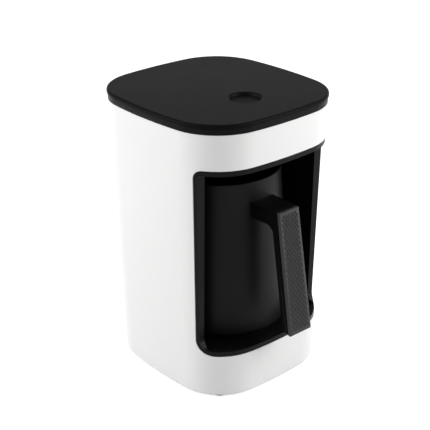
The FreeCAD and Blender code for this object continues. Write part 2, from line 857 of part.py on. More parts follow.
def make_pot_base_cover():
    r = pot_r(pot_bottom_z) - pot_edge_r - pot_skirt_inset - seam
    cover = rod(r, pot_cover_thickness, 0, pot_y, pot_bottom_z)
    for angle in base_post_angles:
        x, y = base_post_place(angle)
        cover = cover.cut(rod(screw_r + screw_clearance, pot_screw, x, y, pot_bottom_z - over))
        cover = cover.cut(rod(screw_head_r + screw_clearance, sunk_head, x, y, pot_bottom_z))
    return cover


def make_pot_base_screws():
    seat = pot_bottom_z + sunk_head
    screws = []
    for angle in base_post_angles:
        x, y = base_post_place(angle)
        head = rod(screw_head_r, pot_screw_head_height, x, y, seat, Vector(0, 0, -1))
        shank = rod(screw_r, pot_screw - over, x, y, seat)
        screws.append(head.fuse(shank).removeSplitter())
    return Part.makeCompound(screws)


def heater_low():
    return pot_floor_z - pot_floor - heater_gap - heater_thickness


def make_heater_plate():
    plate = rod(heater_r, heater_thickness, 0, pot_y, heater_low())
    hole = rod(probe_r + heater_gap, heater_thickness + 2 * over, 0, pot_y, heater_low() - over)
    return plate.cut(hole)


def make_heating_element():
    z = heater_low() - element_tube_r - 0.1
    ring = Part.makeTorus(element_ring_r, element_tube_r, Vector(0, pot_y, z), Vector(0, 0, 1),
                          0, 360, 360 - element_gap_angle)
    ring.rotate(Vector(0, pot_y, z), Vector(0, 0, 1), 90 + element_gap_angle / 2)
    return ring


def make_temperature_probe():
    top = pot_floor_z - pot_floor - 0.1
    return rod(probe_r, probe_height, 0, pot_y, top - probe_height)


def make_thermal_fuse():
    z = heater_low() - fuse_r - heater_gap
    return rod(fuse_r, fuse_length, -fuse_length / 2, pot_y - fuse_offset, z, Vector(1, 0, 0))


# Socket in the pot's rear, lined up with the docking pins
def make_pot_socket():
    front = dock_front_y() - dock_notch_gap
    x = dock_half_width
    z = dock_height / 2
    depth = pin_reach + socket_back_wall
    low = pot_bottom_z + pot_cover_thickness + 0.1
    body = block(-x, x, front - depth, front, max(low, dock_z - z), dock_z + z)
    for px in pin_places:
        hole = rod(pin_r + pin_hole_clearance, pin_reach + over, px, front, dock_z,
                   Vector(0, -1, 0))
        body = body.cut(hole)
    return body


def make_socket_contacts():
    back = dock_front_y() - dock_notch_gap - pin_reach - socket_back_wall - 0.1
    x = contact_half_width
    z = contact_half_thickness
    contacts = [block(px - x, px + x, back - contact_length, back, dock_z - z, dock_z + z)
                for px in pin_places]
    return Part.makeCompound(contacts)


# Handle: neck from the pot's wall and a slanted grip that widens downwards
def grip_front_y(z):
    slope = (grip_front_bottom_y - grip_front_top_y) / (neck_top_z - grip_bottom_z)
    return grip_front_top_y + slope * (neck_top_z - z)


def grip_layer(front_back, back_back, narrow, top, low):
    """Slanted bar between two depths behind the grip's front face."""
    def ring(z, half):
        front = grip_front_y(z) + front_back
        back = grip_front_y(z) + back_back
        corners = [Vector(-half, front, z), Vector(half, front, z),
                   Vector(half, back, z), Vector(-half, back, z)]
        return Part.makePolygon(corners + corners[:1])
    share = (neck_top_z - low) / (neck_top_z - grip_bottom_z)
    low_half = grip_top_half_width + (grip_bottom_half_width - grip_top_half_width) * share
    return Part.makeLoft([ring(low, low_half - narrow), ring(top, grip_top_half_width - narrow)],
                         True, True)


def grip_depths():
    cover_back = grip_cover_thickness
    core_front = cover_back + grip_groove
    return cover_back, core_front, core_front + grip_core_thickness


def pot_cone(gap):
    """Solid outline of the pot, a little larger, for cutting what meets its wall."""
    return Part.makeCone(pot_base_r + gap, pot_rim_r + gap, pot_height,
                         Vector(0, pot_y, pot_bottom_z), Vector(0, 0, 1))


def make_handle_core():
    cover_back, core_front, core_back = grip_depths()
    bar = grip_layer(core_front, core_back, 0, neck_top_z, grip_bottom_z)
    web = grip_web_inset
    inner = grip_layer(cover_back + 0.05, core_front, web, neck_top_z - web, grip_bottom_z + web)
    neck_low = neck_low_z
    root_y = pot_y - pot_r(neck_top_z) + neck_root_depth
    meet_y = grip_front_y(neck_low) + core_back - 0.5

    def plan(z):
        corners = [Vector(-neck_half_width, root_y, z), Vector(neck_half_width, root_y, z),
                   Vector(grip_top_half_width, meet_y, z), Vector(-grip_top_half_width, meet_y, z)]
        return Part.makePolygon(corners + corners[:1])

    neck = Part.Face(plan(neck_low)).extrude(Vector(0, 0, neck_height))
    core = bar.fuse(neck).removeSplitter()
    corner_y = grip_front_y(neck_low) + core_back
    inside = [e for e in core.Edges if abs(e.CenterOfMass.z - neck_low) < 0.3
              and abs(e.CenterOfMass.y - corner_y) < 0.6 and e.BoundBox.XLength > 15]
    core = core.makeFillet(finger_r, inside)
    bottom = [e for e in core.Edges if abs(e.CenterOfMass.z - grip_bottom_z) < 0.3
              and e.BoundBox.YLength > 3 and e.BoundBox.XLength < 2]
    core = core.makeFillet(core_end_r, bottom)
    core = core.fuse(inner)
    core = core.cut(pot_cone(0.1))
    core = core.cut(bracket_block(bracket_gap))
    seat = core_back - grip_screw_sink
    for z in grip_screw_heights():
        core = core.cut(grip_bore(z, screw_r + screw_clearance, 0, core_back))
        core = core.cut(grip_bore(z, screw_head_r + screw_clearance, seat, 2 * core_back))
    return core.removeSplitter()


def grip_screw_heights():
    length = neck_top_z - grip_bottom_z
    return [grip_bottom_z + share * length for share in (grip_low_screw_share, grip_high_screw_share)]


def grip_bore(z, r, near, far):
    """Cylinder along Y between two depths behind the grip's front face."""
    return rod(r, far - near, 0, grip_front_y(z) + near, z, Vector(0, 1, 0))


def make_handle_screws():
    seat = grip_depths()[2] - grip_screw_sink
    screws = []
    for z in grip_screw_heights():
        head = grip_bore(z, screw_head_r, seat, seat + grip_screw_head_height)
        shank = grip_bore(z, screw_r, grip_screw_skin, seat)
        screws.append(head.fuse(shank).removeSplitter())
    return Part.makeCompound(screws)


def make_handle_grip():
    low = grip_bottom_z + grip_end_gap
    cover = grip_layer(0, grip_cover_thickness, 0, neck_top_z - grip_end_gap, low)

    def on_face(edge):
        centre = edge.CenterOfMass
        return centre.y < grip_front_y(centre.z) + 0.5

    cover = round_edges(cover, lambda e: on_face(e) and abs(e.CenterOfMass.z - low) < 0.01,
                        grip_toe_r)
    cover = round_edges(cover, lambda e: on_face(e) and e.BoundBox.ZLength > grip_toe_r * 2,
                        grip_edge_r)
    for z in grip_screw_heights():
        cover = cover.cut(grip_bore(z, screw_r + screw_clearance, 1.0, 2 * grip_cover_thickness))
    return cover


# Steel bracket between the pot's wall and the handle's neck
def bracket_block(gap):
    """The bracket's arm, or with a gap the pocket that it sits in."""
    wall_y = pot_y - pot_r(neck_top_z)
    x = bracket_half_width + gap
    z_inset = bracket_margin - gap
    return block(-x, x, wall_y - bracket_reach - gap, wall_y + bracket_root,
                 neck_low_z + z_inset, neck_top_z - z_inset)


def make_handle_bracket():
    return bracket_block(0).cut(pot_cone(0.05))


nodes = {
    "outer_casing": make_outer_casing,
    "niche_liner": make_niche_liner,
    "top_collar": make_top_collar,
    "top_cover": make_top_cover,
    "start_button": make_start_button,
    "button_spring": make_button_spring,
    "base_plate": make_base_plate,
    "rubber_feet": make_rubber_feet,
    "base_screws": make_base_screws,
    "collar_screws": make_collar_screws,
    "board_screws": make_board_screws,
    "control_board": make_control_board,
    "tact_switch": make_tact_switch,
    "buzzer": make_buzzer,
    "board_connector": make_board_connector,
    "sensor_window": make_sensor_window,
    "foam_sensor": make_foam_sensor,
    "dock_plug": make_dock_plug,
    "dock_pins": make_dock_pins,
    "power_board": make_power_board,
    "power_relay": make_power_relay,
    "filter_capacitor": make_filter_capacitor,
    "terminal_block": make_terminal_block,
    "cord_gland": make_cord_gland,
    "dock_leads": make_dock_leads,
    "link_lead": make_link_lead,
    "pot_body": make_pot_body,
    "pot_base_cover": make_pot_base_cover,
    "pot_base_screws": make_pot_base_screws,
    "heater_plate": make_heater_plate,
    "heating_element": make_heating_element,
    "temperature_probe": make_temperature_probe,
    "thermal_fuse": make_thermal_fuse,
    "pot_socket": make_pot_socket,
    "socket_contacts": make_socket_contacts,
    "handle_core": make_handle_core,
    "handle_grip": make_handle_grip,
    "handle_screws": make_handle_screws,
    "handle_bracket": make_handle_bracket,
}

shapes = {name: make() for name, make in nodes.items()}

# The origin is the middle of the whole footprint, so everything moves by the same amount along Y
front_reach = shapes["handle_grip"].optimalBoundingBox(False, False).YMin
back_reach = casing_half_depth + cover_overhang
frame_shift = -(front_reach + back_reach) / 2
for name, shape in shapes.items():
    shape.translate(Vector(0, frame_shift, 0))
    shape.exportStep("parts/" + name + ".step")
    print(name, len(shape.Solids), shape.isValid(), round(shape.Volume))
print("frame shift along Y", round(frame_shift, 3))
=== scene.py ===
import json
import math

import bmesh
import bpy
from bpy.props import FloatProperty, FloatVectorProperty, PointerProperty
from mathutils import Matrix, Quaternion, Vector

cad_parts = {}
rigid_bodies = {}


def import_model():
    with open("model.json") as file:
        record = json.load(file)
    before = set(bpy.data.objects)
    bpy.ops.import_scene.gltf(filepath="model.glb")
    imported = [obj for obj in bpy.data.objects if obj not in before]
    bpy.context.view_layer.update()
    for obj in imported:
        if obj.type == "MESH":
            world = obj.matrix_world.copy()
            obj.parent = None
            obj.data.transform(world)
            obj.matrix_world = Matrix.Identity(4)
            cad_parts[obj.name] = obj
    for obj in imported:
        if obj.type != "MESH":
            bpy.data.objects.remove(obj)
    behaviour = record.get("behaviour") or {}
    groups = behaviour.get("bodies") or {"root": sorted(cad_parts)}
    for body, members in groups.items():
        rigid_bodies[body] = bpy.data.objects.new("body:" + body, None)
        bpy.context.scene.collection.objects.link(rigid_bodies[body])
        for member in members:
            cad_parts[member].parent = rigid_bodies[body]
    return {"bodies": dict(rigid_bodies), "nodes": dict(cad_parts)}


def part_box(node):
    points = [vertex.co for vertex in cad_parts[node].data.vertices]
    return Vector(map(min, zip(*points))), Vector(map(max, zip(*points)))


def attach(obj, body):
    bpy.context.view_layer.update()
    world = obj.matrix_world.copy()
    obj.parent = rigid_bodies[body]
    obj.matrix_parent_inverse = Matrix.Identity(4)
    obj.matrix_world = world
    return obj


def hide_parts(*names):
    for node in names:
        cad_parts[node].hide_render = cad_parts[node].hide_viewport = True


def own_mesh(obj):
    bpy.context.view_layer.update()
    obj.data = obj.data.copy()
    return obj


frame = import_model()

bl_info = {
    "name": "Coffee maker with sliding pot",
    "version": (1, 0, 0),
    "blender": (4, 5, 0),
    "location": "View3D > Sidebar > Coffee maker",
    "description": "Dresses the coffee maker's frame with its finishes, knurled grip and stage",
    "category": "Object",
}

MM = 0.001
PANEL_BACKING = 3.0 * MM
MERGE_DISTANCE = 0.001 * MM
SHARP_FROM = math.radians(28)
ROUNDED_FROM = math.radians(35)
SAME_PLANE = 0.9999
# Shares of a diamond's depth and cell: the height of its middle, the size of its foot and crown
KNURL_SEAT = 0.48
KNURL_FOOT = 0.97
KNURL_CROWN = 0.2

# Anything that a new file starts with is cleared, so that only the frame is left
framed = set(frame["nodes"].values()) | set(frame["bodies"].values())
for leftover in [o for o in bpy.data.objects if o not in framed]:
    bpy.data.objects.remove(leftover)
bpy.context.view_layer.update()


# Sizes, colours and lamp strength that a user would change
class CoffeeMakerSettings(bpy.types.PropertyGroup):
    casing_colour: FloatVectorProperty(
        name="Casing", description="White satin plastic of the casing",
        subtype="COLOR", min=0.0, max=1.0, default=(0.82, 0.82, 0.815))
    trim_colour: FloatVectorProperty(
        name="Black trim", description="Black plastic of the niche, collar, handle core and base",
        subtype="COLOR", min=0.0, max=1.0, default=(0.0045, 0.0045, 0.0047))
    cover_colour: FloatVectorProperty(
        name="Top cover", description="Black satin plastic of the cover and the start button",
        subtype="COLOR", min=0.0, max=1.0, default=(0.004, 0.004, 0.0042))
    pot_colour: FloatVectorProperty(
        name="Pot coating", description="Dark baked coating inside and outside the pot",
        subtype="COLOR", min=0.0, max=1.0, default=(0.0042, 0.0042, 0.0044))
    # Painted light: the grip is black plastic like the handle, and this lighter grey stands in for
    # the light its face catches
    grip_painted_light_colour: FloatVectorProperty(
        name="Grip", description="Dark grey plastic of the knurled grip face",
        subtype="COLOR", min=0.0, max=1.0, default=(0.044, 0.044, 0.0447))
    floor_colour: FloatVectorProperty(
        name="Floor", description="Pale floor that the machine stands on",
        subtype="COLOR", min=0.0, max=1.0, default=(0.48, 0.48, 0.48))
    edge_rounding: FloatProperty(
        name="Edge rounding", description="Width of the small round on the collar and handle core",
        unit="LENGTH", min=0.0, default=0.4 * MM)
    knurl_width: FloatProperty(
        name="Knurl width", description="Width of one diamond, fitted to a whole number across",
        unit="LENGTH", min=0.5 * MM, default=3.6 * MM)
    knurl_length: FloatProperty(
        name="Knurl length", description="Length of one diamond along the grip",
        unit="LENGTH", min=0.5 * MM, default=5.0 * MM)
    knurl_depth: FloatProperty(
        name="Knurl depth", description="Height of a diamond above the grooves round it",
        unit="LENGTH", min=0.1 * MM, default=0.8 * MM)
    knurl_border: FloatProperty(
        name="Knurl border", description="Plain border between the knurling and the grip's edges",
        unit="LENGTH", min=0.0, default=0.2 * MM)
    lamp_strength: FloatProperty(
        name="Lamps", description="Strength of the four soft lamps, as a factor",
        min=0.0, default=1.0)


def settings():
    """The panel's values."""
    return bpy.context.scene.coffee_maker


# Node groups that several finishes share
def new_group(name, inputs, outputs):
    """A shader group with named float or colour sockets."""
    group = bpy.data.node_groups.new(name, "ShaderNodeTree")
    for label, default in inputs:
        kind = "NodeSocketColor" if isinstance(default, tuple) else "NodeSocketFloat"
        socket = group.interface.new_socket(label, in_out="INPUT", socket_type=kind)
        socket.default_value = default
    for label, kind in outputs:
        group.interface.new_socket(label, in_out="OUTPUT", socket_type=kind)
    return group, group.nodes.new("NodeGroupInput"), group.nodes.new("NodeGroupOutput")


def add_noise(group, scale_socket, detail, stretch=(1.0, 1.0, 1.0)):
    """Noise on the piece's own coordinates, stretched along its axes if asked."""
    coords = group.nodes.new("ShaderNodeTexCoord")
    turn = group.nodes.new("ShaderNodeMapping")
    turn.inputs["Scale"].default_value = stretch
    noise = group.nodes.new("ShaderNodeTexNoise")
    noise.inputs["Detail"].default_value = detail
    group.links.new(coords.outputs["Object"], turn.inputs["Vector"])
    group.links.new(turn.outputs["Vector"], noise.inputs["Vector"])
    group.links.new(scale_socket, noise.inputs["Scale"])
    return noise.outputs["Fac"]


def moulded_grain_group():
    """Fine even texture of a moulded or coated face, as a height."""
    inputs = [("Scale", 1500.0), ("Contrast", 1.0)]
    group, enter, leave = new_group("moulded_grain", inputs, [("Height", "NodeSocketFloat")])
    noise = add_noise(group, enter.outputs["Scale"], 2.0)
    spread = group.nodes.new("ShaderNodeMath")
    spread.operation = "MULTIPLY"
    group.links.new(noise, spread.inputs[0])
    group.links.new(enter.outputs["Contrast"], spread.inputs[1])
    group.links.new(spread.outputs[0], leave.inputs["Height"])
    return group


def uneven_gloss_group():
    """Roughness that wanders between two values in soft patches."""
    inputs = [("Scale", 25.0), ("Smoothest", 0.3), ("Roughest", 0.4)]
    group, enter, leave = new_group("uneven_gloss", inputs, [("Roughness", "NodeSocketFloat")])
    noise = add_noise(group, enter.outputs["Scale"], 3.0)
    spread = group.nodes.new("ShaderNodeMapRange")
    group.links.new(noise, spread.inputs["Value"])
    group.links.new(enter.outputs["Smoothest"], spread.inputs["To Min"])
    group.links.new(enter.outputs["Roughest"], spread.inputs["To Max"])
    group.links.new(spread.outputs["Result"], leave.inputs["Roughness"])
    return group


def tone_drift_group():
    """Base colour that drifts a little between a darker and a lighter tone."""
    inputs = [("Scale", 12.0), ("Darker", (0.1, 0.1, 0.1, 1.0)), ("Lighter", (0.2, 0.2, 0.2, 1.0))]
    group, enter, leave = new_group("tone_drift", inputs, [("Color", "NodeSocketColor")])
    noise = add_noise(group, enter.outputs["Scale"], 3.0)
    mix = group.nodes.new("ShaderNodeMix")
    mix.data_type = "RGBA"
    group.links.new(noise, mix.inputs["Factor"])
    group.links.new(enter.outputs["Darker"], mix.inputs["A"])
    group.links.new(enter.outputs["Lighter"], mix.inputs["B"])
    group.links.new(mix.outputs["Result"], leave.inputs["Color"])
    return group


def brushed_lines_group():
    """Long fine scratches across a metal face, as a height."""
    group, enter, leave = new_group("brushed_lines", [("Scale", 900.0)],
                                    [("Height", "NodeSocketFloat")])
    noise = add_noise(group, enter.outputs["Scale"], 4.0, (0.04, 1.0, 1.0))
    group.links.new(noise, leave.inputs["Height"])
    return group


def shared_group(name, make):
    return bpy.data.node_groups.get(name) or make()


# Finishes
def group_node(tree, name, make, values):
    node = tree.nodes.new("ShaderNodeGroup")
    node.node_tree = shared_group(name, make)
    for label, value in values.items():
        node.inputs[label].default_value = value
    return node


def finish(name, colour, drift, gloss, grain, metallic=0.0, specular=0.5, brushed=False):
    """A procedural finish. Gloss is (smoothest, roughest), grain is (scale, depth in metres)."""
    made = bpy.data.materials.get(name)
    if made:
        return made
    made = bpy.data.materials.new(name)
    made.use_nodes = True
    tree = made.node_tree
    shader = tree.nodes["Principled BSDF"]
    shader.inputs["Metallic"].default_value = metallic
    shader.inputs["Specular IOR Level"].default_value = specular
    darker = tuple(c * (1.0 - drift) for c in colour) + (1.0,)
    lighter = tuple(c * (1.0 + drift) for c in colour) + (1.0,)
    tone = group_node(tree, "tone_drift", tone_drift_group, {"Darker": darker, "Lighter": lighter})
    wander = group_node(tree, "uneven_gloss", uneven_gloss_group,
                        {"Smoothest": gloss[0], "Roughest": gloss[1]})
    if brushed:
        relief = group_node(tree, "brushed_lines", brushed_lines_group, {"Scale": grain[0]})
    else:
        relief = group_node(tree, "moulded_grain", moulded_grain_group, {"Scale": grain[0]})
    bump = tree.nodes.new("ShaderNodeBump")
    bump.inputs["Strength"].default_value = 1.0
    bump.inputs["Distance"].default_value = grain[1]
    tree.links.new(tone.outputs["Color"], shader.inputs["Base Color"])
    tree.links.new(wander.outputs["Roughness"], shader.inputs["Roughness"])
    tree.links.new(relief.outputs["Height"], bump.inputs["Height"])
    tree.links.new(bump.outputs["Normal"], shader.inputs["Normal"])
    return made


def casing_white():
    return finish("white_satin_plastic", settings().casing_colour, 0.012, (0.26, 0.32),
                  (1400.0, 0.012 * MM))


def trim_black():
    return finish("black_moulded_plastic", settings().trim_colour, 0.10, (0.24, 0.32),
                  (1300.0, 0.02 * MM), specular=0.08)


def collar_black():
    return finish("black_satin_collar", settings().trim_colour, 0.10, (0.30, 0.38),
                  (1300.0, 0.02 * MM), specular=0.06)


def cover_black():
    return finish("black_satin_cover", settings().cover_colour, 0.08, (0.40, 0.46),
                  (1600.0, 0.02 * MM), specular=0.035)


def button_black():
    return finish("black_button_plastic", settings().cover_colour, 0.08, (0.44, 0.50),
                  (1600.0, 0.02 * MM), specular=0.035)


# Painted light: this finish takes the grip's black plastic up to a grey that stands in for the
# light on its face
def grip_painted_light():
    return finish("grip_plastic_painted_light", settings().grip_painted_light_colour, 0.08, (0.34, 0.42),
                  (1500.0, 0.02 * MM), specular=0.12)


def pot_coating():
    return finish("baked_pot_coating", settings().pot_colour, 0.12, (0.38, 0.46),
                  (1100.0, 0.02 * MM), specular=0.11)


def handle_black():
    return finish("black_handle_plastic", settings().trim_colour, 0.10, (0.30, 0.38),
                  (1300.0, 0.02 * MM), specular=0.04)


def foot_rubber():
    return finish("foot_rubber", (0.022, 0.022, 0.023), 0.10, (0.68, 0.78), (900.0, 0.05 * MM))


def screw_steel():
    return finish("plated_screw_steel", (0.56, 0.56, 0.58), 0.03, (0.24, 0.34),
                  (900.0, 0.01 * MM), metallic=1.0, brushed=True)


def cast_aluminium():
    return finish("pressed_aluminium", (0.78, 0.79, 0.80), 0.03, (0.30, 0.42),
                  (700.0, 0.01 * MM), metallic=1.0, brushed=True)


def contact_brass():
    return finish("contact_brass", (0.83, 0.62, 0.27), 0.04, (0.22, 0.32),
                  (900.0, 0.01 * MM), metallic=1.0, brushed=True)


def board_lacquer():
    return finish("green_board_lacquer", (0.018, 0.105, 0.040), 0.08, (0.26, 0.36),
                  (1200.0, 0.01 * MM))


def part_black():
    return finish("black_part_plastic", (0.016, 0.016, 0.017), 0.10, (0.45, 0.55),
                  (1200.0, 0.03 * MM))


def part_white():
    return finish("white_part_plastic", (0.68, 0.67, 0.63), 0.03, (0.42, 0.52),
                  (1200.0, 0.02 * MM))


def lead_grey():
    return finish("grey_lead_sleeve", (0.20, 0.20, 0.21), 0.05, (0.40, 0.50),
                  (700.0, 0.02 * MM))


def window_smoke():
    """Smoked clear plastic that the sensor looks through."""
    made = finish("smoked_sensor_window", (0.10, 0.09, 0.09), 0.03, (0.08, 0.12),
                  (900.0, 0.002 * MM))
    made.node_tree.nodes["Principled BSDF"].inputs["Transmission Weight"].default_value = 0.7
    return made


# Handling of meshes
def dress_node(name, material):
    """A CAD node whose shape is right keeps its mesh and gets its finish."""
    mesh = frame["nodes"][name].data
    mesh.materials.clear()
    mesh.materials.append(material)


def merged_copy(name):
    """The CAD node's shape as one connected mesh, ready for bmesh work."""
    form = bmesh.new()
    form.from_mesh(frame["nodes"][name].data)
    bmesh.ops.remove_doubles(form, verts=form.verts, dist=MERGE_DISTANCE)
    return form


def add_piece(name, form, material, body, rounding=0.0):
    """Turn a finished bmesh into a piece that rides on a body, with its small edges rounded."""
    mesh = bpy.data.meshes.new(name)
    form.to_mesh(mesh)
    form.free()
    mesh.shade_smooth()
    mesh.set_sharp_from_angle(angle=SHARP_FROM)
    mesh.materials.append(material)
    piece = bpy.data.objects.new(name, mesh)
    bpy.context.scene.collection.objects.link(piece)
    if rounding:
        bevel = piece.modifiers.new("edge_rounding", "BEVEL")
        bevel.limit_method = "ANGLE"
        bevel.angle_limit = ROUNDED_FROM
        bevel.width = rounding
        bevel.segments = 2
        bevel.harden_normals = True
    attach(piece, body)
    return piece


def rounded_copy(node, name, material, body):
    piece = add_piece(name, merged_copy(node), material, body, settings().edge_rounding)
    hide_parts(node)
    return piece


# Pieces
class MakeCasing(bpy.types.Operator):
    """White casing sleeve with its wrap-round opening"""
    bl_idname = "coffee_maker.casing"
    bl_label = "Casing"

    def execute(self, context):
        dress_node("outer_casing", casing_white())
        return {"FINISHED"}


class MakeNiche(bpy.types.Operator):
    """Black niche with its rim, and the sensor's window in its ceiling"""
    bl_idname = "coffee_maker.niche"
    bl_label = "Niche"

    def execute(self, context):
        dress_node("niche_liner", trim_black())
        dress_node("sensor_window", window_smoke())
        return {"FINISHED"}


class MakeTop(bpy.types.Operator):
    """Collar and top cover with its button recess"""
    bl_idname = "coffee_maker.top"
    bl_label = "Collar and cover"

    def execute(self, context):
        rounded_copy("top_collar", "collar_ring", collar_black(), "housing")
        dress_node("top_cover", cover_black())
        return {"FINISHED"}


class MakeButton(bpy.types.Operator):
    """Start button with its return spring"""
    bl_idname = "coffee_maker.button"
    bl_label = "Start button"

    def execute(self, context):
        dress_node("start_button", button_black())
        spring = add_piece("return_spring", merged_copy("button_spring"), screw_steel(),
                           "housing")
        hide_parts("button_spring")
        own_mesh(spring)
        return {"FINISHED"}


class MakePot(bpy.types.Operator):
    """Coated pot with its base cover and docking socket"""
    bl_idname = "coffee_maker.pot"
    bl_label = "Pot"

    def execute(self, context):
        dress_node("pot_body", pot_coating())
        dress_node("pot_base_cover", trim_black())
        dress_node("pot_socket", part_black())
        dress_node("socket_contacts", contact_brass())
        dress_node("pot_base_screws", screw_steel())
        return {"FINISHED"}


class MakeHandle(bpy.types.Operator):
    """Neck and core of the handle, with bracket and screws"""
    bl_idname = "coffee_maker.handle"
    bl_label = "Handle"

    def execute(self, context):
        rounded_copy("handle_core", "handle_body", handle_black(), "pot")
        dress_node("handle_bracket", screw_steel())
        dress_node("handle_screws", screw_steel())
        return {"FINISHED"}


def sink_front(form, depth):
    """Sink the grip's flat front by the knurling's depth, fading out within its backing."""
    front = max(form.faces, key=lambda face: -face.normal.y * face.calc_area())
    normal = front.normal.copy()
    plane = front.verts[0].co.dot(normal)
    panel = {vert for face in form.faces if face.normal.dot(normal) > SAME_PLANE
             for vert in face.verts}
    for vert in form.verts:
        behind = plane - vert.co.dot(normal)
        if behind < PANEL_BACKING:
            vert.co -= normal * depth * (1.0 - behind / PANEL_BACKING)
    return normal, sorted(panel, key=lambda vert: vert.co.z)


def half_width_at(corners, z):
    """Half width of the sunk panel at a height, between its low and high corners."""
    low = corners[0].co.z
    high = corners[-1].co.z
    low_half = max(abs(v.co.x) for v in corners if abs(v.co.z - low) < MM)
    high_half = max(abs(v.co.x) for v in corners if abs(v.co.z - high) < MM)
    return low_half + (high_half - low_half) * (z - low) / (high - low)


def add_knurls(form, corners, normal, sizes):
    """Rows of flat-topped diamonds across the whole of the sunk panel."""
    across = Vector((1.0, 0.0, 0.0))
    along = normal.cross(across).normalized()
    low = corners[0].co
    high = corners[-1].co
    start = Vector((0.0, low.y, low.z))
    length = (Vector((0.0, high.y, high.z)) - start).length
    if along.z < 0:
        along.negate()
        across.negate()
    step = sizes.knurl_length / 2
    depth = sizes.knurl_depth
    border = sizes.knurl_border
    turn = Matrix((across, along, normal)).transposed().to_4x4()
    middle = half_width_at(corners, (low.z + high.z) / 2) - border
    columns = round(2 * middle / sizes.knurl_width)
    rows = int(length / step)
    margin = (length - (rows - 2) * step) / 2
    for row in range(rows - 1):
        place = margin + row * step
        half = half_width_at(corners, start.z + along.z * place) - border
        width = 2 * half / columns
        stretch = Matrix.Diagonal((width / 2, step, 1.0, 1.0))
        count = columns - row % 2
        for column in range(count):
            x = (column - (count - 1) / 2) * width
            centre = start + along * place + Vector((x, 0.0, 0.0)) + normal * (depth * KNURL_SEAT)
            bmesh.ops.create_cone(form, cap_ends=True, segments=4, radius1=KNURL_FOOT,
                                  radius2=KNURL_CROWN, depth=depth,
                                  matrix=Matrix.Translation(centre) @ turn @ stretch)


class MakeGrip(bpy.types.Operator):
    """Grip face with a diamond knurling sunk into its front"""
    bl_idname = "coffee_maker.grip"
    bl_label = "Knurled grip"

    def execute(self, context):
        sizes = settings()
        form = merged_copy("handle_grip")
        normal, corners = sink_front(form, sizes.knurl_depth)
        add_knurls(form, corners, normal, sizes)
        grip = add_piece("knurled_grip", form, grip_painted_light(), "pot")
        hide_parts("handle_grip")
        return {"FINISHED"}


class MakeBase(bpy.types.Operator):
    """Base plate, feet, screws and the cord's bushing"""
    bl_idname = "coffee_maker.base"
    bl_label = "Base and feet"

    def execute(self, context):
        dress_node("base_plate", trim_black())
        dress_node("rubber_feet", foot_rubber())
        dress_node("cord_gland", foot_rubber())
        dress_node("base_screws", screw_steel())
        return {"FINISHED"}


class MakeDock(bpy.types.Operator):
    """Docking plug with its brass pins at the back of the niche"""
    bl_idname = "coffee_maker.dock"
    bl_label = "Docking plug"

    def execute(self, context):
        dress_node("dock_plug", part_black())
        dress_node("dock_pins", contact_brass())
        return {"FINISHED"}


class MakeHeater(bpy.types.Operator):
    """Heater, probe and fuse in the pot's base"""
    bl_idname = "coffee_maker.heater"
    bl_label = "Heater"

    def execute(self, context):
        dress_node("heater_plate", cast_aluminium())
        dress_node("heating_element", screw_steel())
        dress_node("temperature_probe", contact_brass())
        dress_node("thermal_fuse", part_white())
        return {"FINISHED"}


class MakeElectrics(bpy.types.Operator):
    """Boards, their parts, leads and screws inside the housing"""
    bl_idname = "coffee_maker.electrics"
    bl_label = "Electrics"

    def execute(self, context):
        for name in ("control_board", "power_board"):
            dress_node(name, board_lacquer())
        for name in ("tact_switch", "buzzer", "foam_sensor", "power_relay"):
            dress_node(name, part_black())
        for name in ("board_connector", "terminal_block"):
            dress_node(name, part_white())
        for name in ("dock_leads", "link_lead"):
            dress_node(name, lead_grey())
        for name in ("board_screws", "collar_screws"):
            dress_node(name, screw_steel())
        dress_node("filter_capacitor", cast_aluminium())
        return {"FINISHED"}


# Stage
CAMERA_AZIMUTH = math.radians(-40.94)
CAMERA_ELEVATION = math.radians(24.53)
CAMERA_ROLL = math.radians(-0.447)
CAMERA_DISTANCE = 0.9982
CAMERA_LENS = 92.7
CAMERA_SENSOR = 36.0
CAMERA_SHIFT_X = -0.0068
AIM_HEIGHT = 137.1 * MM
FLOOR_SIZE = 8.0
FLOOR_GLOW = 0.81
SURROUND_LIGHT = 0.41
WHITE_UP_TO = math.radians(12)
CEILING_FROM = math.radians(28)
CEILING_LEVEL = 0.25
# Name, azimuth and elevation in degrees, distance and width in metres, watts
LAMPS = (
    ("left_softbox", -116.0, 30.0, 1.6, 1.1, 19.5),
    ("right_softbox", 42.0, 34.0, 1.6, 0.8, 15.0),
    ("low_softbox", 34.0, 3.0, 1.3, 0.4, 3.4),
    ("top_softbox", 150.0, 75.0, 1.5, 1.2, 4.0),
)


def direction(azimuth, elevation):
    """Unit vector from the object towards a camera or lamp at these angles."""
    flat = math.cos(elevation)
    return Vector((math.sin(azimuth) * flat, -math.cos(azimuth) * flat, math.sin(elevation)))


def aim_point():
    low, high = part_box("outer_casing")
    return Vector((0.0, (low[1] + high[1]) / 2, AIM_HEIGHT))


def make_floor():
    form = bmesh.new()
    bmesh.ops.create_grid(form, x_segments=1, y_segments=1, size=FLOOR_SIZE / 2)
    mesh = bpy.data.meshes.new("floor")
    form.to_mesh(mesh)
    form.free()
    floor = bpy.data.objects.new("floor", mesh)
    bpy.context.scene.collection.objects.link(floor)
    mesh.materials.append(floor_finish())


def seen_directly(tree):
    """1 for camera, glossy and transmission rays, which see the pale background."""
    path = tree.nodes.new("ShaderNodeLightPath")
    total = path.outputs["Is Camera Ray"]
    for name in ("Is Glossy Ray", "Is Transmission Ray"):
        larger = tree.nodes.new("ShaderNodeMath")
        larger.operation = "MAXIMUM"
        tree.links.new(total, larger.inputs[0])
        tree.links.new(path.outputs[name], larger.inputs[1])
        total = larger.outputs[0]
    return total


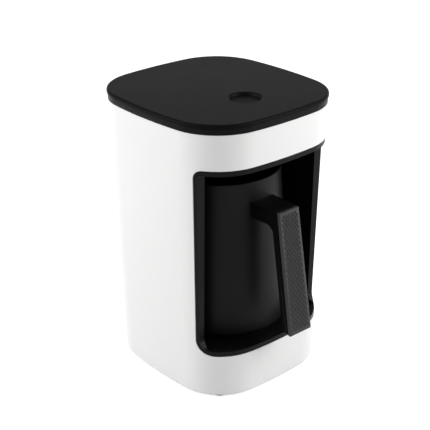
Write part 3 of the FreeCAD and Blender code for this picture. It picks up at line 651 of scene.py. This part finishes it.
def floor_finish():
    """Pale matt floor that reads as white where it is lit and keeps the shadow."""
    made = bpy.data.materials.new("pale_floor")
    made.use_nodes = True
    tree = made.node_tree
    shader = tree.nodes["Principled BSDF"]
    shader.inputs["Base Color"].default_value = (*settings().floor_colour, 1.0)
    shader.inputs["Roughness"].default_value = 0.9
    shader.inputs["Specular IOR Level"].default_value = 0.0
    glow = tree.nodes.new("ShaderNodeEmission")
    lift = tree.nodes.new("ShaderNodeAddShader")
    choose = tree.nodes.new("ShaderNodeMixShader")
    out = tree.nodes["Material Output"]
    glow.inputs["Strength"].default_value = FLOOR_GLOW
    tree.links.new(shader.outputs[0], lift.inputs[0])
    tree.links.new(glow.outputs[0], lift.inputs[1])
    tree.links.new(seen_directly(tree), choose.inputs[0])
    tree.links.new(shader.outputs[0], choose.inputs[1])
    tree.links.new(lift.outputs[0], choose.inputs[2])
    tree.links.new(choose.outputs[0], out.inputs["Surface"])
    return made


def make_world():
    """White backdrop whose reflection darkens towards the ceiling, softer where it only lights."""
    world = bpy.data.worlds.new("studio")
    bpy.context.scene.world = world
    world.use_nodes = True
    tree = world.node_tree
    tree.nodes.clear()
    light = tree.nodes.new("ShaderNodeBackground")
    seen = tree.nodes.new("ShaderNodeBackground")
    choose = tree.nodes.new("ShaderNodeMixShader")
    out = tree.nodes.new("ShaderNodeOutputWorld")
    light.inputs["Color"].default_value = (1.0, 1.0, 1.0, 1.0)
    light.inputs["Strength"].default_value = SURROUND_LIGHT
    seen.inputs["Strength"].default_value = 1.0
    coords = tree.nodes.new("ShaderNodeTexCoord")
    split = tree.nodes.new("ShaderNodeSeparateXYZ")
    fade = tree.nodes.new("ShaderNodeMapRange")
    fade.interpolation_type = "SMOOTHSTEP"
    fade.inputs["From Min"].default_value = math.sin(WHITE_UP_TO)
    fade.inputs["From Max"].default_value = math.sin(CEILING_FROM)
    fade.inputs["To Min"].default_value = 1.0
    fade.inputs["To Max"].default_value = CEILING_LEVEL
    tree.links.new(coords.outputs["Generated"], split.inputs[0])
    tree.links.new(split.outputs["Z"], fade.inputs["Value"])
    path = tree.nodes.new("ShaderNodeLightPath")
    backdrop = tree.nodes.new("ShaderNodeMath")
    backdrop.operation = "MAXIMUM"
    tree.links.new(fade.outputs["Result"], backdrop.inputs[0])
    tree.links.new(path.outputs["Is Camera Ray"], backdrop.inputs[1])
    tree.links.new(backdrop.outputs[0], seen.inputs["Color"])
    tree.links.new(seen_directly(tree), choose.inputs[0])
    tree.links.new(light.outputs[0], choose.inputs[1])
    tree.links.new(seen.outputs[0], choose.inputs[2])
    tree.links.new(choose.outputs[0], out.inputs["Surface"])


def add_lamp(name, azimuth, elevation, distance, size, watts):
    """Square soft lamp that points at the machine."""
    lamp = bpy.data.lights.new(name, "AREA")
    lamp.size = size
    lamp.energy = watts * settings().lamp_strength
    lamp_object = bpy.data.objects.new(name, lamp)
    bpy.context.scene.collection.objects.link(lamp_object)
    back = direction(math.radians(azimuth), math.radians(elevation))
    lamp_object.location = aim_point() + back * distance
    lamp_object.rotation_mode = "QUATERNION"
    lamp_object.rotation_quaternion = (-back).to_track_quat("-Z", "Y")


def make_camera():
    camera = bpy.data.cameras.new("photo_view")
    camera.sensor_width = CAMERA_SENSOR
    camera.lens = CAMERA_LENS
    camera.shift_x = CAMERA_SHIFT_X
    camera_object = bpy.data.objects.new("photo_view", camera)
    bpy.context.scene.collection.objects.link(camera_object)
    back = direction(CAMERA_AZIMUTH, CAMERA_ELEVATION)
    camera_object.location = aim_point() + back * CAMERA_DISTANCE
    camera_object.rotation_mode = "QUATERNION"
    camera_object.rotation_quaternion = (
        Quaternion(back, CAMERA_ROLL) @ (-back).to_track_quat("-Z", "Y"))
    bpy.context.scene.camera = camera_object


class MakeStage(bpy.types.Operator):
    """Pale floor, even surround, soft lamps and the camera at the photograph's view"""
    bl_idname = "coffee_maker.stage"
    bl_label = "Stage"

    def execute(self, context):
        make_floor()
        make_world()
        for lamp in LAMPS:
            add_lamp(*lamp)
        make_camera()
        context.scene.view_settings.view_transform = "Standard"
        return {"FINISHED"}


STEPS = (MakeCasing, MakeNiche, MakeTop, MakeButton, MakePot, MakeHandle, MakeGrip, MakeBase,
         MakeDock, MakeHeater, MakeElectrics, MakeStage)


class CoffeeMakerPanel(bpy.types.Panel):
    """Sizes, colours and the steps that build the coffee maker"""
    bl_idname = "VIEW3D_PT_coffee_maker"
    bl_label = "Coffee maker"
    bl_space_type = "VIEW_3D"
    bl_region_type = "UI"
    bl_category = "Coffee maker"

    def draw(self, context):
        for name in CoffeeMakerSettings.__annotations__:
            self.layout.prop(context.scene.coffee_maker, name)
        for step in STEPS:
            self.layout.operator(step.bl_idname)


CLASSES = (CoffeeMakerSettings, *STEPS, CoffeeMakerPanel)


def register():
    for cls in CLASSES:
        bpy.utils.register_class(cls)
    bpy.types.Scene.coffee_maker = PointerProperty(type=CoffeeMakerSettings)


def unregister():
    del bpy.types.Scene.coffee_maker
    for cls in reversed(CLASSES):
        bpy.utils.unregister_class(cls)


def main():
    register()
    for step in STEPS:
        getattr(bpy.ops.coffee_maker, step.bl_idname.split(".")[1])()


if __name__ == "__main__":
    main()
